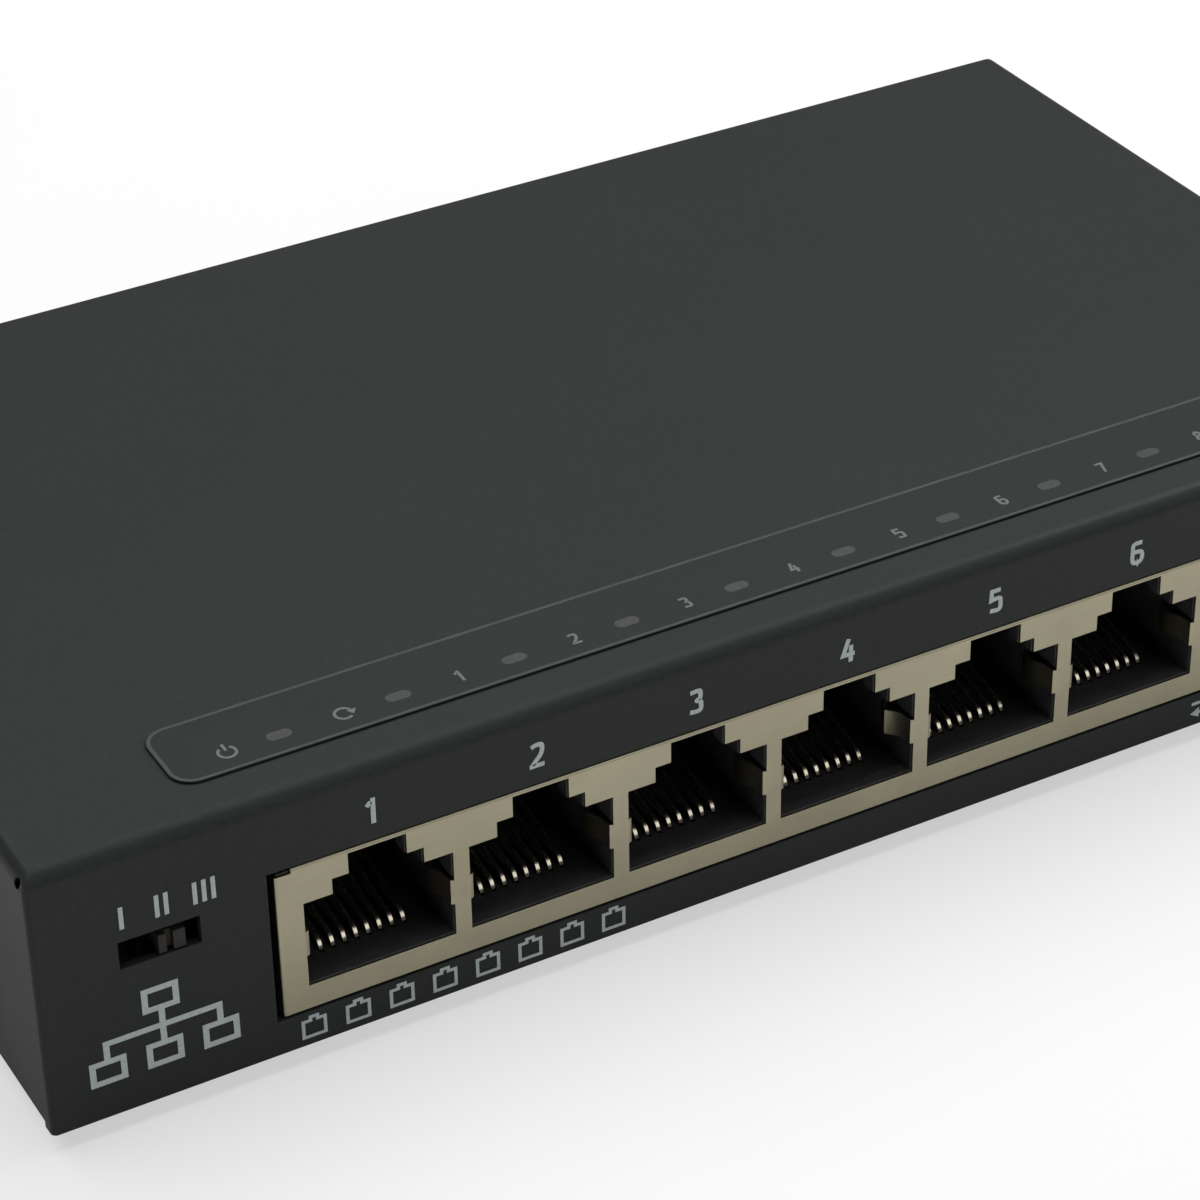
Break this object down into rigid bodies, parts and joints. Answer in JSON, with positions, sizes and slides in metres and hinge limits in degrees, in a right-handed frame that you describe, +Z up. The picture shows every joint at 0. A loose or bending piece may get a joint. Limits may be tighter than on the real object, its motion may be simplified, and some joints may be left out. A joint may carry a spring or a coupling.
{
  "type": "desktop network switch",
  "caption": "Low folded-steel desktop network switch with a row of shielded modular ports, a raised indicator strip, a recessed mode slider and a rear power inlet.",
  "frame": {"origin": "on the table under the middle of the case, at the bottom of the rubber feet", "axes": "+X right along the front, +Y from the ports towards the back, +Z up"},
  "size_m": [0.1356, 0.0768, 0.026],
  "materials": {
    "case_paint": "fine matte powder coat, near-black grey",
    "foot_rubber": "matte",
    "label_film": "satin printed film",
    "window_film": "smoked translucent",
    "port_plastic": "moulded, slightly glossy",
    "shield_plate": "warm nickel plate, satin",
    "contact_gold": "bright plated wire",
    "board_laminate": "green solder mask",
    "zinc_steel": "bright zinc plate",
    "black_steel": "black oxide",
    "clear_acrylic": "clear moulded",
    "lamp_white": "white moulded",
    "chip_black": "moulded epoxy",
    "bare_aluminium": "extruded",
    "pad_grey": "soft",
    "can_metal": "drawn can",
    "ferrite_grey": "pressed",
    "ceramic_tan": "fired",
    "knob_plastic": "moulded"
  },
  "bodies": {
    "switch": {"top_cover": "case_paint", "base_pan": "case_paint", "board_standoffs": "zinc_steel", "board_screws": "zinc_steel", "cover_screws": "black_steel", "foot_front_left": "foot_rubber", "foot_front_right": "foot_rubber", "foot_rear_left": "foot_rubber", "foot_rear_right": "foot_rubber", "indicator_label": "label_film", "indicator_windows": "window_film", "jack_housing": "port_plastic", "jack_front_shield": "shield_plate", "jack_rear_shield": "shield_plate", "main_board": "board_laminate", "indicator_leds": "lamp_white", "light_guide": "clear_acrylic", "switch_chip": "chip_black", "thermal_pad": "pad_grey", "heat_sink": "bare_aluminium", "memory_chip": "chip_black", "crystal": "can_metal", "voltage_regulator": "chip_black", "power_inductor": "ferrite_grey", "filter_capacitors": "can_metal", "small_components": "ceramic_tan", "mode_switch_base": "port_plastic", "mode_switch_shell": "can_metal", "mode_switch_terminals": "contact_gold", "dc_jack_housing": "port_plastic", "dc_jack_centre_pin": "zinc_steel", "dc_jack_spring_contact": "contact_gold", "contact_insert_1": "port_plastic", "contact_set_1": "contact_gold", "contact_insert_2": "port_plastic", "contact_set_2": "contact_gold", "contact_insert_3": "port_plastic", "contact_set_3": "contact_gold", "contact_insert_4": "port_plastic", "contact_set_4": "contact_gold", "contact_insert_5": "port_plastic", "contact_set_5": "contact_gold", "contact_insert_6": "port_plastic", "contact_set_6": "contact_gold", "contact_insert_7": "port_plastic", "contact_set_7": "contact_gold", "contact_insert_8": "port_plastic", "contact_set_8": "contact_gold", "magnetics_1": "chip_black", "magnetics_2": "chip_black", "magnetics_3": "chip_black", "magnetics_4": "chip_black"},
    "mode_slider": {"mode_switch_knob": "knob_plastic", "mode_switch_wiper": "contact_gold"}
  },
  "joints": [
    {"name": "mode_slide", "type": "slide", "parent": "switch", "child": "mode_slider", "axis": [1, 0, 0], "range_m": [-0.0029, 0]}
  ]
}
